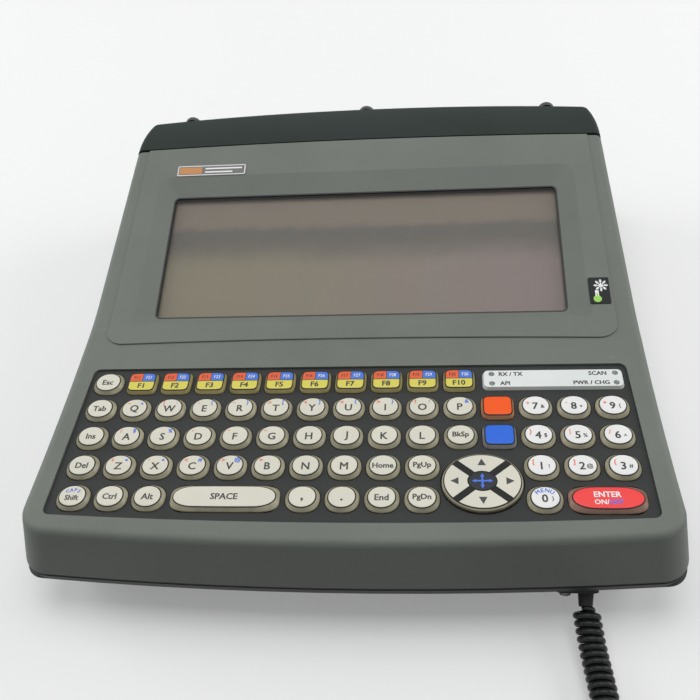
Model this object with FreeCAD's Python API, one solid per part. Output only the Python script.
"""Vehicle-mount data collector: housing, display, 65-key keypad, electronics and a stylus tether.

Frame: the unit lies on its back. Z = 0 is the rear rest face and +Z points out of the keypad.
+X is the user's right, +Y runs from the keypad to the display, and X = Y = 0 is the middle.
"""
import FreeCAD, Part
import math
import os

V = FreeCAD.Vector

# ---- driving dimensions, mm ----
FRONT_Y = -137.75        # parting line at the keypad end, on the centre line
HEAD_Y = 135.70          # end face of the cap, on the centre line
PART_Z = 24.0            # parting line between rear casing and front housing
DECK_Z = 46.8            # housing surface around the keypad
WALL = 3.0
TILT = 13.0              # display slope against the keypad, degrees
HINGE_Y = -8.5           # where keypad deck and display slope would meet
HINGE_R = 120.0          # blend between them
HALF_KEYPAD = 137.0      # half width at the parting line: keypad end, waist, cap seam
HALF_WAIST = 134.2
HALF_CAP = 132.8
CAP_TAPER = 4.0          # the cap's sides run in this far from its seam to its end
WAIST_Y = -25.0
FRONT_SAG = 5.5          # bow of the keypad end
HEAD_SAG = 9.0           # bow of the cap end
SEAM_Y = 101.0           # cap seam on the centre line
SEAM_SAG = 4.2           # over the whole width
SEAM_GAP = 0.4           # on each side of the seam's middle
SIDE_DRAFT = 0.165       # inward run per mm of height
FRONT_DRAFT = 0.38
HEAD_DRAFT = 0.03
CREST_Y = 92.0           # the display slope starts to roll over here
CREST_R = 88.0
CREST_END = 18.0         # degrees past level, at the cap's end
CORNER_FRONT = 13.0
CORNER_HEAD = 4.5
CORNER_MIN = 1.0
RIM_R = 3.6              # rounding of the front edges
PLATEAU_RISE = 0.8       # raised field around the display, level with the cap
PLATEAU_Y = -22.0
PLATEAU_SAG = 2.0
PLATEAU_HALF = 121.0
PLATEAU_TAPER = 3.5
PLATEAU_CORNER = 9.0
PLATEAU_EDGE = 0.45      # rounding of its crease
TOP_Z = 84.0             # above everything

CASING_RIM = 2.6         # upright rim of the rear casing
CASING_STEP = 0.6        # it stands back this far from the front housing
REAR_TAPER = (20.0, 13.0, 9.0)   # it runs in: keypad end, sides, cap end
REAR_R = 3.0
SEAL = 1.6               # housing seal: thickness, width and inset
SEAL_W = 1.9
SEAL_INSET = 0.9
SCREW_SEAT_Z = 16.0      # casing screws bear here, from behind
SCREW_D = 2.9
SCREW_HEAD = (5.6, 3.0)  # diameter, height
SCREW_REACH = 12.0       # into the front housing
SCREW_BORE = SCREW_D + 0.1        # the thread bites past this
SCREW_HOLE = SCREW_D + 0.5        # the shank passes freely
SCREW_RECESS = SCREW_HEAD[0] + 0.8
PILLAR_FRONT = 6.4
PILLAR_REAR = 9.0

WIN_W = 200.5            # clear display opening
WIN_H = 75.7
WIN_Y = 31.8             # its centre
WIN_Z = 53.5
SURROUND = (7.0, 4.6, 9.0)       # sloped surround: sides, keypad side, cap side
SURROUND_RISE = 2.6
VIEW_EDGE = 0.6          # the display's visible face ends this far inside the opening
GLASS_T = 2.0
GLASS_LAP = (4.5, 3.5)   # window laps the rim: sides, ends
GASKET_T = 0.6
MASK_T = 0.6
MODULE_T = 7.0
SEAT_DEPTH = 4.2         # rim behind the opening
SEAT_LAP = (8.5, 7.5)

BADGE = (38.6, 7.4, 0.2)         # maker's plate, and its centre
BADGE_AT = (-81.2, 82.8)
LABEL = (9.6, 14.6, 0.25)        # pictogram label beside the display, and its centre
LABEL_AT = (114.6, 2.9)
STUCK = 0.02             # film under a label

PITCH_X = 16.0           # keypad grid
PITCH_Y = 15.25
COL0_X = -112.0
ROW0_Y = -47.75
PANEL_TOP = 45.8
PANEL_T = 1.8
KEY_TOP = 48.0
KEY_BASE = (14.1, 12.5)
OVAL = (KEY_BASE, (10.7, 9.4), 5.6, 4.4)           # base, print, radii of both
SQUARE = (KEY_BASE, (11.5, 9.5), 3.4, 1.8)
SPACE = ((45.4, KEY_BASE[1]), (42.0, 9.4), 5.6, 4.4)
ENTER = ((30.2, KEY_BASE[1]), (26.8, 9.4), 5.6, 4.4)
KEY_SKIRT = 0.3          # upright part above the panel
KEY_GAP = 0.25           # between key and panel hole
KEY_TRAVEL = 1.2
FLANGE = 0.45            # flange runs out this far beyond the key's base
FLANGE_T = 0.8
FLANGE_GAP = 0.1         # under the panel
MAT_T = 0.8
MAT_GAP = 0.1            # under a pressed key
BOARD_T = 1.6
BOARD_LAP = 1.6          # board and ledge run out this far beyond the panel
PANEL_TOP_Y = -39.25
PANEL_FOOT_Y = -119.75
PANEL_SAG = 3.2
PANEL_HALF = (120.6, 123.2)
PANEL_R = 3.0
PANEL_FIT = 0.25
LEDGE = 0.8
LEDGE_RUN = 4.0

ARROW_X = 56.0           # four-way pad
ARROW_Y = -101.15
ARROW_BASE = (32.4, 27.1)
ARROW_PRINT = (30.6, 25.4)
ARROW_GAP = 0.7
ARROW_SKIRT = 1.7
PIVOT_Z = 44.3           # both tilt axes
PIN_D = 1.5
PIN_BORE = PIN_D + 0.3
PIN_L = 12.8
STRIP_X = (58.3, 118.8)  # status strip
STRIP_H = 10.5
STRIP_T = 1.7
LIGHTS_X = (62.3, 115.4)
LIGHTS_DY = 2.7
LIGHT_D = 2.6

MOUNT_PITCH = 75.0       # rear bolt pattern
INSERT_D = 7.0
INSERT_BORE = 4.0
INSERT_L = 9.0
SOCKETS = ((-62.0, 15.0, 4), (62.0, 15.0, 6))   # power and serial: X, diameter, pins
SOCKET_Z = 14.0
SOCKET_WALL = 2.0
SOCKET_DEPTH = 10.0
CAP_SCREWS = (-100.0, 0.0, 100.0)
CAP_SCREW_DROP = 4.4     # their centres lie this far under the cap's top
CAP_HEAD_D = 9.0
CAP_SHANK = (4.0, 14.0)
HEAD_SINK = 0.5          # spot face under each head
SCREW_PROUD = 2.5        # cap screw heads stand out this far, and end the overall length

STAND = 8.5              # boards stand this far off the rear wall
MAIN_BOARD = (190.0, 122.0, -14.0)      # width, depth, centre Y
MAIN_CHIPS = ((-40, 20, 34, 34, 3.0), (30, 25, 24, 24, 2.4), (60, -30, 30, 12, 2.0), (-60, -40, 18, 26, 6.0))
RADIO_BOARD = (90.0, 40.0, 82.0)
RADIO_CHIPS = ((-20, 0, 30, 26, 3.0), (24, 4, 20, 20, 2.0))
BATTERY = (74.0, 26.0, 9.0, -94.0)      # width, depth, height, centre Y
SPEAKER_AT = (-101.0, 70.0)
ANTENNA_Y = 116.0

ANCHOR = (93.0, 15.5)    # X and Z of the tether's anchor on the tapered keypad end
ANCHOR_PLATE = (17.0, 8.0, 2.2)
ANCHOR_SCREW_X = -4.6    # from there
BOOT_X = 3.6
COIL_D = 11.4
STYLUS_D = 8.0
STYLUS_L = 112.0
# the coil's centre line from the anchor to the stylus
ROUTE = [
    (96.0, -136.6, 11.9), (97.2, -149.0, 6.8), (99.0, -163.0, 6.0), (100.6, -182.0, 6.0),
    (98.2, -201.0, 6.0), (87.2, -216.5, 6.0), (69.0, -226.0, 6.0), (48.0, -228.0, 6.0),
]


# ---- small helpers ----
def box(x, y, z, dx, dy, dz):
    """Box centred on x, y with its foot at z."""
    return Part.makeBox(dx, dy, dz, V(x - dx / 2, y - dy / 2, z))


def rod(p, d, length, axis=(0, 0, 1)):
    return Part.makeCylinder(d / 2, length, V(*p), V(*axis))


def rounded(w, h, r, x=0.0, y=0.0, z=0.0):
    """Wire of a rectangle with round corners, centred on x, y."""
    a = w / 2 - r
    b = h / 2 - r
    q = r * math.sqrt(0.5)
    edges = []
    for sx, sy in ((1, 1), (-1, 1), (-1, -1), (1, -1)):
        corner = (V(x + sx * (a + r), y + sy * b, z), V(x + sx * (a + q), y + sy * (b + q), z),
                  V(x + sx * a, y + sy * (b + r), z))
        start, mid, end = corner if sx * sy > 0 else corner[::-1]
        if edges and (edges[-1].Vertexes[-1].Point - start).Length > 1e-6:
            edges.append(Part.makeLine(edges[-1].Vertexes[-1].Point, start))
        edges.append(Part.Arc(start, mid, end).toShape())
    first = edges[0].Vertexes[0].Point
    if (edges[-1].Vertexes[-1].Point - first).Length > 1e-6:
        edges.append(Part.makeLine(edges[-1].Vertexes[-1].Point, first))
    return Part.Wire(edges)


def ellipse(w, h, x, y, z):
    turn = FreeCAD.Placement(V(x, y, z), FreeCAD.Rotation())
    edge = Part.Ellipse(V(0, 0, 0), w / 2, h / 2).toShape()
    edge.Placement = turn
    return Part.Wire([edge])


def single(shape):
    """The one solid of a boolean's result."""
    return shape.Solids[0] if len(shape.Solids) == 1 else shape


def slab(wire, height):
    return Part.Face(wire).extrude(V(0, 0, height))


def loft(low, high):
    return Part.makeLoft([low, high], True, True)


def on_display(shape):
    """Carry a shape from the display's own frame (X, up the slope, out) to the unit's frame."""
    place = FreeCAD.Placement(V(0, WIN_Y, WIN_Z), FreeCAD.Rotation(V(1, 0, 0), TILT))
    out = shape.copy()
    out.Placement = place
    return out


def fillet(shape, radius, pick):
    """Round the edges that pick accepts; a smaller radius where the full one fails."""
    for r in (radius, radius * 0.8, radius * 0.6):
        edges = [e for e in shape.Edges if pick(e)]
        try:
            out = shape.makeFillet(r, edges)
        except Exception:
            continue
        if out.isValid() and out.Volume > 0:
            return single(out)
    print("no fillet", radius)
    return shape


def save(name, shape):
    solids = shape.Solids
    kept = solids[0] if len(solids) == 1 else Part.makeCompound(solids)
    if not kept.isValid():
        print("INVALID", name)
    kept.exportStep("parts/" + name + ".step")
    print("%-20s solids %2d  volume %.0f" % (name, len(solids), kept.Volume))


# ---- housing form ----
def bow(x, half, sag):
    """How far an arc of that half chord and sag has fallen back at x."""
    r = (half ** 2 + sag ** 2) / (2 * sag)
    return r - math.sqrt(r * r - x * x)


def arc_mid(before, start, end):
    """Middle of the arc that carries on from the line before-start, without a kink, to end."""
    along = (start - before).normalize()
    chord = end - start
    off = chord - along * chord.dot(along)
    r = chord.Length ** 2 / (2 * off.Length)
    half = math.atan2(off.Length, chord.dot(along))
    return start + along * (r * math.sin(half)) + off.normalize() * (r * (1 - math.cos(half)))


def outline(z, front, side, head):
    """Plan outline of the housing, run in by the three insets."""
    fy = FRONT_Y + front
    hy = HEAD_Y - head
    keypad = (HALF_KEYPAD - side, fy + FRONT_SAG)
    waist = (HALF_WAIST - side, WAIST_Y)
    seam = (HALF_CAP - side, SEAM_Y)
    cap = (HALF_CAP - CAP_TAPER - side, hy - HEAD_SAG)
    mid = (waist[0] + (keypad[0] - waist[0]) * 0.25, (keypad[1] + WAIST_Y) / 2)

    def at(p, sign):
        return V(sign * p[0], p[1], z)
    edges = [Part.Arc(at(keypad, -1), V(0, fy, z), at(keypad, 1)).toShape(),
             Part.Arc(at(keypad, 1), at(mid, 1), at(waist, 1)).toShape(),
             Part.makeLine(at(waist, 1), at(seam, 1)),
             Part.Arc(at(seam, 1), arc_mid(at(waist, 1), at(seam, 1), at(cap, 1)), at(cap, 1)).toShape(),
             Part.Arc(at(cap, 1), V(0, hy, z), at(cap, -1)).toShape(),
             Part.Arc(at(cap, -1), arc_mid(at(waist, -1), at(seam, -1), at(cap, -1)), at(seam, -1)).toShape(),
             Part.makeLine(at(seam, -1), at(waist, -1)),
             Part.Arc(at(waist, -1), at(mid, -1), at(keypad, -1)).toShape()]
    return Part.Wire(edges)


def is_corner(edge, at_head):
    """An upright corner edge of the housing, at the cap end or at the keypad end."""
    if len(edge.Vertexes) < 2:
        return False
    p, q = (v.Point for v in edge.Vertexes)
    upright = abs(p.z - q.z) > 1.0 and abs(p.x) > HALF_CAP * 0.75
    return upright and (p.y > SEAM_Y + 5 if at_head else p.y < PANEL_FOOT_Y * 0.85)


def round_corners(shape, inset):
    """Round the four upright corners of a block that is run in by inset."""
    front_r = max(CORNER_FRONT - inset, CORNER_MIN)
    head_r = max(CORNER_HEAD - inset, CORNER_MIN)
    shape = fillet(shape, front_r, lambda e: is_corner(e, False))
    return fillet(shape, head_r, lambda e: is_corner(e, True))


def deck_line(drop):
    """Side profile of the front surface: keypad deck, display slope, cap roll-over."""
    t = math.radians(TILT)
    run = HINGE_R * math.tan(t / 2)
    z = DECK_Z - drop
    y = HINGE_Y + drop * math.tan(t / 2)
    start = V(0, -160, z)
    blend = V(0, y - run, z)
    slope = V(0, y + run * math.cos(t), z + run * math.sin(t))
    mid = V(0, blend.y + HINGE_R * math.sin(t / 2), z + HINGE_R * (1 - math.cos(t / 2)))
    crest_r = CREST_R - drop
    crest_y = CREST_Y + drop * math.sin(t)
    crest = V(0, crest_y, z + (crest_y - y) * math.tan(t))
    centre = V(0, crest.y + crest_r * math.sin(t), crest.z - crest_r * math.cos(t))
    top = V(0, centre.y, centre.z + crest_r)
    fall = math.radians(CREST_END)
    past = V(0, centre.y + crest_r * math.sin(fall), centre.z + crest_r * math.cos(fall))
    end = V(0, 175, past.z - (175 - past.y) * math.tan(fall))
    return [Part.makeLine(start, blend), Part.Arc(blend, mid, slope).toShape(),
            Part.makeLine(slope, crest), Part.Arc(crest, top, past).toShape(),
            Part.makeLine(past, end)]


def deck_z(y, drop=0.0):
    """Height of the front surface at y."""
    probe = Part.makeLine(V(0, y, 0), V(0, y, 150))
    return probe.distToShape(Part.Wire(deck_line(drop)))[1][0][0].z


def under_deck(drop, low=-5.0):
    """Everything under the front surface, from low up."""
    edges = deck_line(drop)
    a = edges[0].Vertexes[0].Point
    g = edges[-1].Vertexes[-1].Point
    edges += [Part.makeLine(g, V(0, g.y, low)), Part.makeLine(V(0, g.y, low), V(0, a.y, low)),
              Part.makeLine(V(0, a.y, low), a)]
    face = Part.Face(Part.Wire(edges))
    face.translate(V(-160, 0, 0))
    return face.extrude(V(320, 0, 0))


def drafted(z, inset):
    """Outline at height z on the drafted sides of the front half."""
    rise = z - PART_Z
    return outline(z, inset + FRONT_DRAFT * rise, inset + SIDE_DRAFT * rise, inset + HEAD_DRAFT * rise)


def front_form(inset, low, drop):
    """The front half as a solid, run in by inset on all sides and by drop under the top."""
    block = round_corners(loft(drafted(low, inset), drafted(TOP_Z, inset)), inset)
    form = single(block.common(under_deck(drop)))
    return fillet(form, RIM_R, on_rim) if inset == 0 else form


def on_rim(e):
    """Edges between the front surface and the sides."""
    b = e.BoundBox
    if b.ZMin < DECK_Z - 1.0:
        return False
    m = e.valueAt((e.FirstParameter + e.LastParameter) / 2)
    crosswise = b.XLength > HALF_CAP and b.YLength < 1e-3
    at_side = abs(m.x) > HALF_CAP - 25
    return not crosswise and (at_side or m.y < PANEL_FOOT_Y or m.y > HEAD_Y - 11)


def seam_side(y_shift, cap_side):
    """Region on one side of the cap seam."""
    y = SEAM_Y + y_shift
    half = 160.0
    sag = SEAM_SAG
    far = 190.0 if cap_side else -190.0
    arc = Part.Arc(V(-half, y - sag, -5), V(0, y, -5), V(half, y - sag, -5)).toShape()
    edges = [arc, Part.makeLine(V(half, y - sag, -5), V(half, far, -5)),
             Part.makeLine(V(half, far, -5), V(-half, far, -5)),
             Part.makeLine(V(-half, far, -5), V(-half, y - sag, -5))]
    return Part.Face(Part.Wire(edges)).extrude(V(0, 0, 100))


def panel_outline(grow, z):
    """Keypad panel outline: straight top, bowed foot, sides that open towards the foot."""
    top = PANEL_TOP_Y + grow
    foot = PANEL_FOOT_Y - grow
    a = PANEL_HALF[0] + grow
    b = PANEL_HALF[1] + grow
    side = foot + PANEL_SAG
    edges = [Part.makeLine(V(-a, top, z), V(-b, side, z)),
             Part.Arc(V(-b, side, z), V(0, foot, z), V(b, side, z)).toShape(),
             Part.makeLine(V(b, side, z), V(a, top, z)),
             Part.makeLine(V(a, top, z), V(-a, top, z))]
    return Part.Wire(edges)


def panel_block(grow, z, height):
    """Panel outline grown by grow, as a slab with round corners."""
    block = slab(panel_outline(grow, z), height)
    upright = [e for e in block.Edges if e.BoundBox.ZLength > height * 0.9]
    return block.makeFillet(max(PANEL_R + grow, CORNER_MIN), upright)


def plateau():
    """Raised field around the display, with its crease line along three sides."""
    a = PLATEAU_HALF
    b = a - PLATEAU_TAPER
    y0 = PLATEAU_Y
    y1 = SEAM_Y + 20
    foot = y0 - PLATEAU_SAG
    wire = Part.Wire([Part.Arc(V(-a, foot, 0), V(0, y0, 0), V(a, foot, 0)).toShape(),
                      Part.makeLine(V(a, foot, 0), V(b, y1, 0)),
                      Part.makeLine(V(b, y1, 0), V(-b, y1, 0)),
                      Part.makeLine(V(-b, y1, 0), V(-a, foot, 0))])
    block = slab(wire, 100)
    upright = [e for e in block.Edges if e.BoundBox.ZLength > 99 and e.BoundBox.YMin < y0 + 5]
    block = block.makeFillet(PLATEAU_CORNER, upright)
    block = single(block.cut(under_deck(WALL / 2)).common(under_deck(-PLATEAU_RISE)))
    return fillet(block, PLATEAU_EDGE, on_crease).common(seam_side(-SEAM_GAP, False))


def on_crease(e):
    """Upper edges of the raised field."""
    m = e.valueAt((e.FirstParameter + e.LastParameter) / 2)
    crosswise = e.BoundBox.XLength > HALF_CAP and abs(m.y - PLATEAU_Y) > 1
    return not crosswise and m.y < SEAM_Y + 19 and abs(m.z - deck_z(m.y, -PLATEAU_RISE)) < 0.02


def window_cut():
    """Sloped surround down to the clear opening, and the opening itself."""
    side, low, high = SURROUND
    lift = SURROUND_RISE + PLATEAU_RISE + 1.0
    grow = lift / SURROUND_RISE
    mid_y = (high - low) / 2 * grow
    outer = rounded(WIN_W + 2 * side * grow, WIN_H + (low + high) * grow, 9.0, 0, mid_y, lift)
    inner = rounded(WIN_W, WIN_H, 3.0, 0, 0, 0)
    through = slab(rounded(WIN_W, WIN_H, 3.0, 0, 0, -8), 8.01)
    return on_display(loft(inner, outer).fuse(through))


def lapped(lap, extra, r, z, height):
    """Slab that laps the display opening's rim by lap and a bit extra."""
    return slab(rounded(WIN_W + 2 * (lap[0] + extra), WIN_H + 2 * (lap[1] + extra), r, 0, 0, z), height)


def window_seat():
    """Rim behind the opening that carries window, gasket and display."""
    rim = lapped(SEAT_LAP, 0, 4.0, -SEAT_DEPTH, SEAT_DEPTH)
    pocket = lapped(GLASS_LAP, 0.3, 2.5, -SEAT_DEPTH - 0.1, SEAT_DEPTH + 0.08)
    return on_display(rim), on_display(pocket)


def bosses():
    """Places of the screw pillars that hold the two halves together."""
    right = ((HALF_KEYPAD - 11.5, FRONT_Y + FRONT_SAG + 12.5), (HALF_WAIST - 8.7, WAIST_Y - 1.0),
             (HALF_CAP - 9.8, SEAM_Y - 13.0))
    return [(side * x, y) for side in (-1, 1) for x, y in right]


def seal_groove():
    """The room that the housing seal takes from the front half."""
    across = 2 * max(HALF_KEYPAD, HALF_WAIST, HALF_CAP, HEAD_Y, -FRONT_Y) + 20.0
    return box(0, 0, PART_Z - 1, across, across, 1.0 + SEAL)


def front_bezel(outer, inner):
    """Front housing: keypad deck, display slope and surround, with ledge, rim and pillars inside."""
    shell = single(single(outer.cut(inner)).common(seam_side(-SEAM_GAP, False)))
    inside = inner.fuse(outer.common(under_deck(WALL / 2)))
    panel_foot = PANEL_TOP - PANEL_T
    ledge = panel_block(LEDGE_RUN, panel_foot - LEDGE_RUN + 1.0, LEDGE_RUN)
    seat, pocket = window_seat()
    shell = shell.fuse(plateau()).fuse(ledge.common(inside)).fuse(seat.common(inside))
    shell = shell.cut(window_cut()).cut(pocket)
    for x, y in bosses():
        pillar = rod((x, y, PART_Z + SEAL), PILLAR_FRONT, 50).common(inside)
        shell = shell.fuse(pillar).cut(rod((x, y, 0), SCREW_BORE, PART_Z + SCREW_REACH + 2))
    shell = shell.cut(panel_block(-LEDGE, PART_Z, 40))
    shell = shell.cut(panel_block(PANEL_FIT, panel_foot, 20))
    return single(shell.cut(seal_groove()))


def cap_end_y(x, z):
    """Y of the cap's end face."""
    half = HALF_CAP - CAP_TAPER - SIDE_DRAFT * (z - PART_Z)
    return HEAD_Y - HEAD_DRAFT * (z - PART_Z) - bow(x, half, HEAD_SAG)


def cap_screw_places():
    """Where the cap screws' heads bear: under the cap's top by the same drop."""
    for x in CAP_SCREWS:
        z = deck_z(cap_end_y(x, DECK_Z + 20), -PLATEAU_RISE) - CAP_SCREW_DROP
        yield x, cap_end_y(x, z) - HEAD_SINK, z


def top_cap(outer, inner):
    """Radio cap: the end of the front half beyond the seam, level with the raised field."""
    cap = single(single(outer.cut(inner)).common(seam_side(SEAM_GAP, True)))
    cap = single(cap.cut(seal_groove()))
    for x, y, z in cap_screw_places():
        cap = cap.cut(rod((x, y - 30, z), CAP_SHANK[0] + 0.2, 60, (0, 1, 0)))
        cap = single(cap.cut(rod((x, y, z), CAP_HEAD_D + 0.3, 9, (0, 1, 0))))
    return cap


def cap_screws():
    """Low-domed slotted screws in the cap's end face."""
    out = []
    tall = SCREW_PROUD + HEAD_SAG * 0.08 + HEAD_SINK
    for x, y, z in cap_screw_places():
        head = rod((x, y, z), CAP_HEAD_D, tall, (0, 1, 0))
        head = fillet(head, 1.4, lambda e: e.BoundBox.YMin > y + 1.5 and e.BoundBox.XLength > 5)
        slot = box(x, y + tall, z - 0.6, 6.0, 1.2, 1.2)
        shank = rod((x, y - CAP_SHANK[1], z), CAP_SHANK[0], CAP_SHANK[1], (0, 1, 0))
        out.append(head.fuse(shank).cut(slot))
    return Part.makeCompound(out)


def rear_form(inset, foot):
    """Rear casing block in two: the taper to the rear face, and the short upright rim on it."""
    front, side, head = REAR_TAPER
    knee = PART_Z - CASING_RIM
    share = (knee - foot) / knee
    step = inset + CASING_STEP
    low = outline(foot, step + front * share, step + side * share, step + head * share)
    bend = outline(knee, step, step, step)
    top = outline(PART_Z, step, step, step)
    return round_corners(loft(low, bend), step), round_corners(loft(bend, top), step)


def rear_casing():
    """Rear half: a tapered tray with pillars, insert seats and the connectors' openings."""
    outer, outer_rim = rear_form(0.0, 0.0)
    inner, inner_rim = rear_form(WALL, WALL)
    outer = fillet(outer, REAR_R, lambda e: e.BoundBox.ZMax < 0.01)
    block = outer.fuse(outer_rim)
    shell = block.cut(inner.fuse(inner_rim))
    for x, y in bosses():
        pillar = rod((x, y, WALL + 1.0), PILLAR_REAR, PART_Z - WALL - 1.0).common(block)
        shell = shell.fuse(pillar).cut(rod((x, y, -1), SCREW_HOLE, 60))
        shell = shell.cut(rod((x, y, -1), SCREW_RECESS, SCREW_SEAT_Z + 1))
    for x, y in mount_places():
        shell = shell.fuse(rod((x, y, 0), INSERT_D + 5, INSERT_L + 1))
        shell = shell.cut(rod((x, y, -0.1), INSERT_D, INSERT_L + 0.1))
    for x, d, pins in SOCKETS:
        shell = shell.cut(rod((x, HEAD_Y - 30, SOCKET_Z), d + 0.4, 40, (0, 1, 0)))
    shell = shell.cut(on_taper(rod((ANCHOR_SCREW_X, 0, -9.0), SCREW_D + 0.2, 12), *ANCHOR))
    return shell.removeSplitter()


def mount_places():
    half = MOUNT_PITCH / 2
    return [(sx * half, sy * half) for sx in (-1, 1) for sy in (-1, 1)]


def mount_inserts():
    """Threaded inserts of the rear bolt pattern."""
    out = []
    for x, y in mount_places():
        insert = rod((x, y, 0), INSERT_D, INSERT_L)
        out.append(insert.cut(rod((x, y, -1), INSERT_BORE, INSERT_L + 2)))
    return Part.makeCompound(out)


def rounded_outline(z, inset, height):
    """The housing's outline run in by inset, as a slab with round corners."""
    return round_corners(slab(outline(z, inset, inset, inset), height), inset)


def housing_seal():
    """Rubber cord between the two halves."""
    ring = rounded_outline(PART_Z, SEAL_INSET, SEAL)
    ring = ring.cut(rounded_outline(PART_Z - 1, SEAL_INSET + SEAL_W, SEAL + 2))
    for x, y in bosses():
        ring = ring.cut(rod((x, y, PART_Z - 1), SCREW_HOLE, 4))
    return ring


def casing_screws():
    """Socket-head screws from behind, through the rear pillars into the front ones."""
    head_d, head_t = SCREW_HEAD
    low = SCREW_SEAT_Z - head_t
    out = []
    for x, y in bosses():
        head = rod((x, y, low), head_d, head_t).cut(rod((x, y, low - 0.1), 2.6, 1.6))
        out.append(head.fuse(rod((x, y, SCREW_SEAT_Z), SCREW_D, PART_Z + SCREW_REACH - SCREW_SEAT_Z)))
    return Part.makeCompound(out)


# ---- display ----
def display_stack():
    """From outside in: gasket, window, the display's frame and its module."""
    glass_z = -GASKET_T - GLASS_T
    glass = lapped(GLASS_LAP, 0, 2.2, glass_z, GLASS_T)
    gasket = lapped(GLASS_LAP, 0, 2.2, -GASKET_T, GASKET_T - 0.02)
    gasket = gasket.cut(lapped((-0.8, -0.8), 0, 2.4, -1, 2))
    view = lapped((-VIEW_EDGE, -VIEW_EDGE), 0, 0.6, -20, 40)
    back = -SEAT_DEPTH - 1.2
    frame = lapped(GLASS_LAP, 0, 2.2, back, glass_z - back)
    frame = frame.fuse(lapped(SEAT_LAP, -1.0, 3.0, back, 1.2))
    frame = frame.cut(lapped((1.0, 1.0), 0, 1.0, back - 1, glass_z - MASK_T - back + 1)).cut(view)
    module = lapped((0.7, 0.7), 0, 1.0, glass_z - MASK_T - MODULE_T, MODULE_T)
    return {"display_window": on_display(glass), "window_gasket": on_display(gasket),
            "lcd_frame": on_display(frame), "lcd_module": on_display(module)}


# ---- keypad ----
def col_x(c):
    return COL0_X + PITCH_X * c


def row_y(r):
    return ROW0_Y - PITCH_Y * r


def key_shape(x, y, form):
    """One key: skirt in the panel hole, sloped flank, printed top and a flange underneath."""
    (base_w, base_h), (top_w, top_h), base_r, top_r = form
    foot = PANEL_TOP - PANEL_T - FLANGE_GAP
    skirt_top = PANEL_TOP + KEY_SKIRT
    run = 2 * FLANGE
    skirt = slab(rounded(base_w, base_h, base_r, x, y, foot), skirt_top - foot)
    crown = loft(rounded(base_w, base_h, base_r, x, y, skirt_top),
                 rounded(top_w, top_h, top_r, x, y, KEY_TOP))
    flange = slab(rounded(base_w + run, base_h + run, base_r, x, y, foot - FLANGE_T), FLANGE_T)
    return skirt.fuse(crown).fuse(flange).removeSplitter()


def key_hole(x, y, form):
    (base_w, base_h), _, base_r, _ = form
    grow = 2 * KEY_GAP
    return slab(rounded(base_w + grow, base_h + grow, base_r + KEY_GAP, x, y, PANEL_TOP - 5), 10)


def key_table():
    """Node name -> list of (column, row, form)."""
    alone = {"key_esc": (0, 0), "key_tab": (0, 1), "key_insert": (0, 2), "key_delete": (0, 3),
             "key_shift": (0, 4), "key_ctrl": (1, 4), "key_alt": (2, 4), "key_backspace": (10, 2),
             "key_0": (12, 4)}
    table = {name: [(c, r, OVAL)] for name, (c, r) in alone.items()}
    for digit in range(1, 10):
        table["key_%d" % digit] = [(12 + (digit - 1) % 3, 3 - (digit - 1) // 3, OVAL)]
    table["function_keys"] = [(c, 0, SQUARE) for c in range(1, 11)]
    table["letter_keys_top"] = [(c, 1, OVAL) for c in range(1, 11)]
    table["letter_keys_middle"] = [(c, 2, OVAL) for c in range(1, 10)]
    table["letter_keys_bottom"] = [(c, 3, OVAL) for c in range(1, 8)]
    table["punctuation_keys"] = [(6, 4, OVAL), (7, 4, OVAL)]
    table["paging_keys"] = [(8, 3, OVAL), (9, 3, OVAL), (8, 4, OVAL), (9, 4, OVAL)]
    table["key_orange"] = [(11, 1, SQUARE)]
    table["key_blue"] = [(11, 2, SQUARE)]
    table["key_space"] = [(4, 4, SPACE)]
    table["key_enter"] = [(13.5, 4, ENTER)]
    return table


def light_places():
    return [(x, ROW0_Y + side * LIGHTS_DY) for x in LIGHTS_X for side in (-1, 1)]


def cut_light_holes(shape, d):
    for x, y in light_places():
        shape = shape.cut(rod((x, y, PANEL_TOP - 10), d, 20))
    return shape


def keys_and_panel():
    """The keys, and the panel with a hole for each of them."""
    parts = {}
    panel = panel_block(0.0, PANEL_TOP - PANEL_T, PANEL_T)
    for name, keys in key_table().items():
        shapes = []
        for column, row, form in keys:
            x, y = col_x(column), row_y(row)
            shapes.append(key_shape(x, y, form))
            panel = panel.cut(key_hole(x, y, form))
        parts[name] = shapes[0] if len(shapes) == 1 else Part.makeCompound(shapes)
    gap = 2 * ARROW_GAP
    panel = panel.cut(slab(ellipse(ARROW_BASE[0] + gap, ARROW_BASE[1] + gap, ARROW_X, ARROW_Y, 40), 10))
    parts["keypad_panel"] = cut_light_holes(panel, LIGHT_D + 0.8)
    return parts


def mat_top():
    """The mat's upper face lies just under the flange of a pressed key."""
    return PANEL_TOP - PANEL_T - FLANGE_GAP - FLANGE_T - KEY_TRAVEL - MAT_GAP


def board_top():
    return mat_top() - MAT_T


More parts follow.
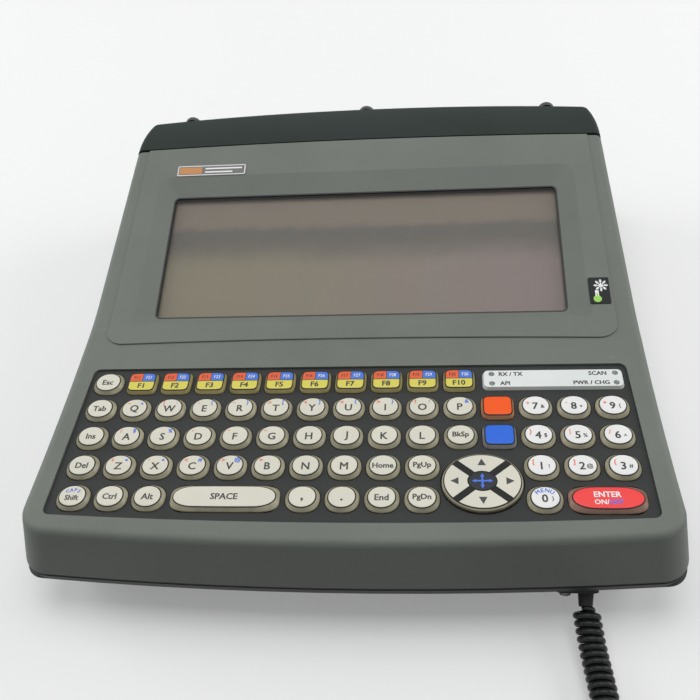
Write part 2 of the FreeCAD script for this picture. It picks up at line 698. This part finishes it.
def arrow_parts():
    """Four-way pad on a two-axis gimbal: the cross tilts about X, the pad tilts on it about Y."""
    foot = PIVOT_Z + 0.5
    low = PIVOT_Z - 1.4
    middle = (ARROW_X, ARROW_Y)
    pad = slab(ellipse(*ARROW_BASE, *middle, foot), ARROW_SKIRT)
    pad = pad.fuse(loft(ellipse(*ARROW_BASE, *middle, foot + ARROW_SKIRT),
                        ellipse(*ARROW_PRINT, *middle, KEY_TOP)))
    for side in (-1, 1):
        pad = pad.fuse(box(ARROW_X, ARROW_Y + side * 5.2, low, 3.4, 2.6, foot + 0.2 - low))
    pad = pad.cut(rod((ARROW_X, ARROW_Y - 7, PIVOT_Z), PIN_BORE, 14, (0, 1, 0)))
    pad = pad.cut(box(*middle, low, 13.6, 7.0, PIVOT_Z + 1.7 - low))
    cross = box(*middle, PIVOT_Z - 1.2, 4.4, 5.0, 2.4)
    cross = cross.fuse(rod((ARROW_X, ARROW_Y - PIN_L / 2, PIVOT_Z), PIN_D, PIN_L, (0, 1, 0)))
    cross = cross.fuse(rod((ARROW_X - PIN_L / 2, ARROW_Y, PIVOT_Z), PIN_D, PIN_L, (1, 0, 0)))
    return {"arrow_pad": pad.removeSplitter(), "arrow_pivot": cross.removeSplitter()}


def keypad_board():
    """Circuit board with two posts that carry the pad's gimbal."""
    top = board_top()
    board = panel_block(BOARD_LAP, top - BOARD_T, BOARD_T)
    for side in (-1, 1):
        post = box(ARROW_X + side * 5.1, ARROW_Y, top - 0.1, 2.2, 4.0, PIVOT_Z + 1.1 - top)
        board = board.fuse(post.cut(rod((ARROW_X - 10, ARROW_Y, PIVOT_Z), PIN_BORE, 20, (1, 0, 0))))
    return board.removeSplitter()


def keypad_mat():
    """Rubber mat under the keys, open under the four-way pad and at the lights."""
    foot = board_top()
    mat = panel_block(-LEDGE - 0.5, foot, MAT_T)
    mat = mat.cut(slab(ellipse(ARROW_BASE[0] - 2, ARROW_BASE[1] - 2, ARROW_X, ARROW_Y, foot - 1), 5))
    return cut_light_holes(mat, LIGHT_D + 0.8)


def status_parts():
    """White strip on the panel, with four light guides that stand on the keypad board."""
    x0, x1 = STRIP_X
    mid = (x0 + x1) / 2
    strip = loft(rounded(x1 - x0, STRIP_H, 2.4, mid, ROW0_Y, PANEL_TOP),
                 rounded(x1 - x0 - 1.2, STRIP_H - 1.2, 2.0, mid, ROW0_Y, PANEL_TOP + STRIP_T))
    foot = board_top()
    guides = []
    for x, y in light_places():
        guide = rod((x, y, foot), LIGHT_D, PANEL_TOP + STRIP_T - foot)
        guides.append(guide.fuse(rod((x, y, foot), LIGHT_D + 0.6, 1.6)))
    return {"status_strip": cut_light_holes(strip, LIGHT_D), "status_lights": Part.makeCompound(guides)}


# ---- labels ----
def stuck_on(size, place, r):
    """A label that follows the raised field's surface."""
    width, height, thick = size
    block = slab(rounded(width, height, r, *place, DECK_Z - 15), 60)
    block = block.common(under_deck(-PLATEAU_RISE - STUCK - thick))
    return single(block.cut(under_deck(-PLATEAU_RISE - STUCK)))


def labels():
    return {"badge_plate": stuck_on(BADGE, BADGE_AT, 1.2), "cold_label": stuck_on(LABEL, LABEL_AT, 0.8)}


# ---- electronics ----
def chip_board(size, chips, posts):
    """Board with chips, on posts that stand on the rear wall."""
    width, depth, y = size
    foot = WALL + STAND
    board = box(0, y, foot, width, depth, BOARD_T)
    for cx, cy, cw, ch, ct in chips:
        board = board.fuse(box(cx, y + cy, foot + BOARD_T - 0.05, cw, ch, ct))
    for px, py in posts:
        board = board.fuse(rod((px, y + py, WALL), 6.0, STAND))
        board = board.cut(rod((px, y + py, WALL - 1), 3.0, 20))
    return board.removeSplitter()


def electronics():
    width, depth, height, y = BATTERY
    sx, sy = SPEAKER_AT
    main_posts = [(x, py) for x in (-88, 88) for py in (-54, 54)]
    speaker = rod((sx, sy, WALL), 28, 5.0).fuse(rod((sx, sy, WALL + 5), 16, 4.0))
    return {"main_board": chip_board(MAIN_BOARD, MAIN_CHIPS, main_posts),
            "radio_card": chip_board(RADIO_BOARD, RADIO_CHIPS, [(-40, 0), (40, 0)]),
            "backup_battery": slab(rounded(width, depth, 3, 0, y, WALL), height),
            "speaker": speaker}


def antenna():
    """Radio antenna blade on a foot, in the cap."""
    foot_z = PART_Z - 12.0
    blade = box(0, ANTENNA_Y, foot_z + 20, 60, 1.2, 24)
    foot = box(0, ANTENNA_Y, foot_z, 60, 8, 3.0)
    stem = box(0, ANTENNA_Y, foot_z + 2, 8, 3, 20)
    leg = box(0, ANTENNA_Y, WALL, 8, 8, foot_z - WALL + 0.5)
    return blade.fuse(foot).fuse(stem).fuse(leg).removeSplitter()


def socket(x, d, pins):
    """Round panel connector in the cap end of the rear casing."""
    knee = PART_Z - CASING_RIM
    mouth = HEAD_Y - bow(x, HALF_CAP - CAP_TAPER, HEAD_SAG) - 0.3 - REAR_TAPER[2] * (knee - SOCKET_Z) / knee
    back = mouth - 16.0
    bore = d - 2 * SOCKET_WALL
    shell = rod((x, back, SOCKET_Z), d, mouth - back, (0, 1, 0))
    shell = shell.fuse(rod((x, back - 4.0, SOCKET_Z), d + 5, 5.0, (0, 1, 0)))
    shell = shell.cut(rod((x, mouth - SOCKET_DEPTH, SOCKET_Z), bore, SOCKET_DEPTH + 2, (0, 1, 0)))
    shell = shell.fuse(box(x, back - 2.0, WALL, d, 4.0, SOCKET_Z - WALL))
    for k in range(pins):
        a = 2 * math.pi * k / pins
        r = bore / 2 - 2.6
        pin = (x + r * math.cos(a), mouth - SOCKET_DEPTH - 0.2, SOCKET_Z + r * math.sin(a))
        shell = shell.fuse(rod(pin, 1.4, 7, (0, 1, 0)))
    return shell.removeSplitter()


# ---- tether ----
def taper_frame(x, z):
    """Point and outward direction on the tapered keypad end of the rear casing."""
    knee = PART_Z - CASING_RIM
    slope = math.atan2(REAR_TAPER[0], knee)
    run = (knee - z) * REAR_TAPER[0] / knee
    y = FRONT_Y + CASING_STEP + run + bow(x, HALF_KEYPAD, FRONT_SAG)
    return V(x, y, z), V(0, -math.cos(slope), -math.sin(slope))


def on_taper(shape, x, z):
    """Carry a shape whose +Z points outward to the tapered end face."""
    p, n = taper_frame(x, z)
    out = shape.copy()
    out.Placement = FreeCAD.Placement(p, FreeCAD.Rotation(V(0, 0, 1), n))
    return out


def tether_parts():
    """Anchor plate, its screw, and the boot from the plate to the coil's start."""
    width, height, thick = ANCHOR_PLATE
    plate = slab(rounded(width, height, 3.0, 0, 0, 0.0), thick)
    plate = plate.cut(rod((ANCHOR_SCREW_X, 0, -1), SCREW_D + 0.3, 6))
    head = rod((ANCHOR_SCREW_X, 0, thick), 4.6, 1.8)
    head = head.fuse(rod((ANCHOR_SCREW_X, 0, -6.0), SCREW_D, 6.1 + thick))
    screw = on_taper(fillet(head, 0.7, lambda e: e.BoundBox.ZMin > thick + 1.7), *ANCHOR)
    base, n = taper_frame(ANCHOR[0] + BOOT_X, ANCHOR[1])
    p = base + n * thick
    way = V(*ROUTE[0]) - p
    boot = Part.makeCone(3.2, 2.7, way.Length - 0.1, p, way)
    anchor = single(on_taper(plate, *ANCHOR).cut(boot).cut(rear_form(0.0, 0.0)[0]))
    return {"cord_anchor": anchor, "anchor_screw": screw, "tether_boot": boot}


def route_wire(points, share=0.45):
    """Straight runs joined by tangent arcs."""
    pts = [V(*p) for p in points]
    edges = []
    here = pts[0]
    for a, b, c in zip(pts, pts[1:], pts[2:]):
        u = (a - b).normalize()
        w = (c - b).normalize()
        turn = math.pi - u.getAngle(w)
        cut = share * min((a - b).Length, (c - b).Length)
        radius = cut / math.tan(turn / 2)
        print("route radius %.1f" % radius)
        start, end = b + u * cut, b + w * cut
        centre = b + (u + w).normalize() * (radius / math.cos(turn / 2))
        mid = centre + (b - centre).normalize() * radius
        edges += [Part.LineSegment(here, start).toShape(), Part.Arc(start, mid, end).toShape()]
        here = end
    edges.append(Part.LineSegment(here, pts[-1]).toShape())
    return Part.Wire(edges)


def tether_coil():
    wire = route_wire(ROUTE)
    along = V(*ROUTE[1]) - V(*ROUTE[0])
    circle = Part.Wire([Part.makeCircle(COIL_D / 2, V(*ROUTE[0]), along)])
    coil = wire.makePipeShell([circle], True, False)
    want = math.pi * COIL_D ** 2 / 4 * wire.Length
    print("coil volume %.0f, section x length %.0f, length %.1f" % (coil.Volume, want, wire.Length))
    return coil


def stylus():
    """Stylus at the coil's far end: ferrule, barrel, cone and tip, lying on."""
    a, b = V(*ROUTE[-2]), V(*ROUTE[-1])
    way = V(b.x - a.x, b.y - a.y, 0).normalize()
    r = STYLUS_D / 2
    body = Part.makeCone(2.6, r, 8.0).fuse(Part.makeCylinder(r, STYLUS_L - 24, V(0, 0, 8)))
    body = body.fuse(Part.makeCone(r, 1.2, 14.0, V(0, 0, STYLUS_L - 16)))
    body = body.fuse(Part.makeCylinder(0.8, 2.0, V(0, 0, STYLUS_L - 2.2)))
    body.Placement = FreeCAD.Placement(b + way * 0.05, FreeCAD.Rotation(V(0, 0, 1), way))
    return body


def build():
    outer = front_form(0.0, PART_Z, 0.0)
    inner = front_form(WALL, PART_Z - 4, WALL)
    parts = {"top_cap": top_cap(front_form(0.0, PART_Z, -PLATEAU_RISE), inner.copy())}
    parts["front_bezel"] = front_bezel(outer, inner)
    parts["cap_screws"] = cap_screws()
    parts["rear_casing"] = rear_casing()
    parts["housing_seal"] = housing_seal()
    parts["casing_screws"] = casing_screws()
    parts["mount_inserts"] = mount_inserts()
    parts.update(display_stack())
    parts.update(keys_and_panel())
    parts.update(arrow_parts())
    parts["keypad_board"] = keypad_board()
    parts["keypad_mat"] = keypad_mat()
    parts.update(status_parts())
    parts.update(labels())
    parts.update(electronics())
    parts["antenna"] = antenna()
    parts["power_connector"], parts["serial_connector"] = (socket(*row) for row in SOCKETS)
    parts.update(tether_parts())
    parts["tether_coil"] = tether_coil()
    parts["stylus"] = stylus()
    return parts


os.makedirs("parts", exist_ok=True)
for part_name, part_shape in build().items():
    save(part_name, part_shape)
